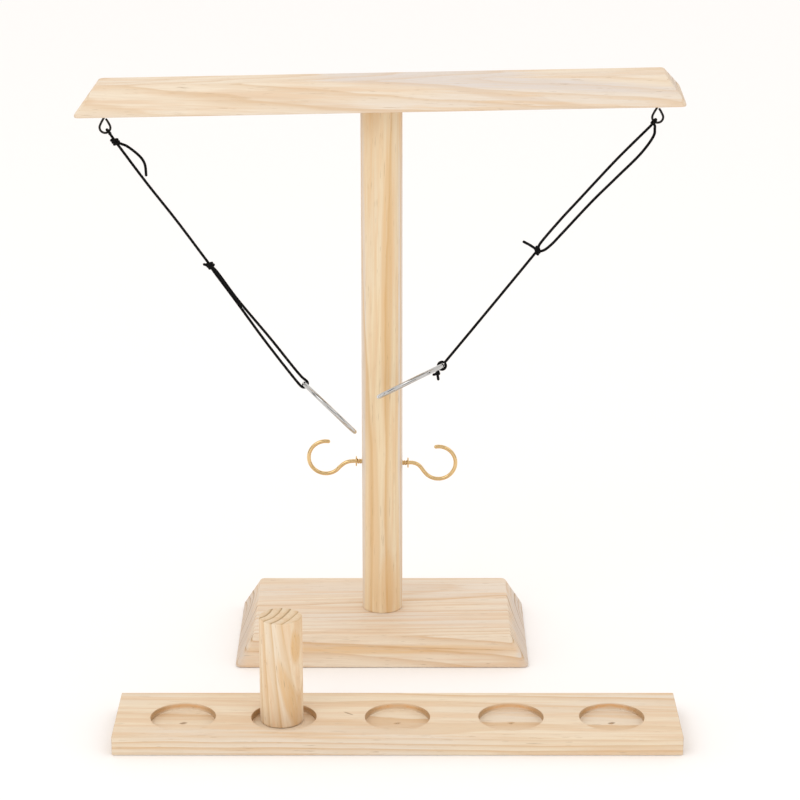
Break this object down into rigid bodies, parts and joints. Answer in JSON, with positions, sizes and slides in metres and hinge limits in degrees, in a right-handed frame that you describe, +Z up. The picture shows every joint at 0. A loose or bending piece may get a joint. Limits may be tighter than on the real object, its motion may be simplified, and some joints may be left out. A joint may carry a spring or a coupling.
{
  "type": "hook-and-ring toss game",
  "caption": "Tabletop hook-and-ring toss game: wooden stand with wire hooks and rings on black cords, a recessed drinks board and a round marker peg.",
  "frame": {"origin": "centre of the base board's underside", "axes": "+Z up along the post, +X along the crossbar towards the right hook, +Y away from the drinks board"},
  "size_m": [0.3873, 0.2407, 0.391],
  "materials": {
    "pine": "sanded, bare",
    "brass_wire": "polished",
    "dark_wire": "black satin",
    "zinc_steel": "zinc plated",
    "ring_steel": "polished",
    "black_cord": "matt braid"
  },
  "bodies": {
    "stand": {"base_board": "pine", "post": "pine", "crossbar": "pine", "base_dowel_screw": "zinc_steel", "crossbar_dowel_screw": "zinc_steel", "left_hook": "brass_wire", "right_hook": "brass_wire", "left_hook_collar": "brass_wire", "right_hook_collar": "brass_wire", "left_screw_eye": "dark_wire", "right_screw_eye": "dark_wire"},
    "left_hitch": {"left_eye_hitch": "black_cord"},
    "left_string": {"left_upper_knot": "black_cord", "left_cord_tail": "black_cord", "left_cord_run": "black_cord", "left_lower_knot": "black_cord", "left_cord_inner_leg": "black_cord", "left_cord_outer_leg": "black_cord", "left_ring_hitch": "black_cord"},
    "left_ring": {"left_ring": "ring_steel"},
    "right_hitch": {"right_eye_hitch": "black_cord"},
    "right_string": {"right_cord_inner_leg": "black_cord", "right_cord_outer_leg": "black_cord", "right_cord_knot": "black_cord", "right_cord_tail": "black_cord", "right_cord_run": "black_cord", "right_ring_hitch": "black_cord", "right_ring_knot": "black_cord"},
    "right_ring": {"right_ring": "ring_steel"},
    "drinks_board": {"drinks_board": "pine"},
    "marker_peg": {"marker_peg": "pine"}
  },
  "joints": [
    {"name": "left_string_swing", "type": "hinge", "parent": "stand", "child": "left_hitch", "pos_m": [-0.17807, 0.00465, 0.35246], "axis": [0.0262, 0.9997, 0], "range_deg": [-1, 112]},
    {"name": "left_string_sway", "type": "hinge", "parent": "left_hitch", "child": "left_string", "pos_m": [-0.17587, 0.00459, 0.34974], "axis": [-0.7769, 0.0203, -0.6293], "range_deg": [0, 60]},
    {"name": "left_ring_tilt", "type": "hinge", "parent": "left_string", "child": "left_ring", "pos_m": [-0.05057, -0.0297, 0.19034], "axis": [-0.0667, 0.9589, -0.2759], "range_deg": [-75, 100]},
    {"name": "right_string_swing", "type": "hinge", "parent": "stand", "child": "right_hitch", "pos_m": [0.1767, -0.00464, 0.36113], "axis": [-0.0262, -0.9997, 0], "range_deg": [-1, 112]},
    {"name": "right_string_sway", "type": "hinge", "parent": "right_hitch", "child": "right_string", "pos_m": [0.17447, -0.00458, 0.35843], "axis": [-0.7702, 0.0202, 0.6375], "range_deg": [0, 60]},
    {"name": "right_ring_tilt", "type": "hinge", "parent": "right_string", "child": "right_ring", "pos_m": [0.039, -0.03778, 0.20505], "axis": [-0.0374, -0.9583, 0.2833], "range_deg": [-75, 100]},
    {"name": "board_slide", "type": "slide", "parent": "stand", "child": "drinks_board", "axis": [0, -1, 0], "range_m": [0, 0.12]},
    {"name": "peg_lift", "type": "slide", "parent": "drinks_board", "child": "marker_peg", "axis": [0, 0, 1], "range_m": [0, 0.08]}
  ]
}
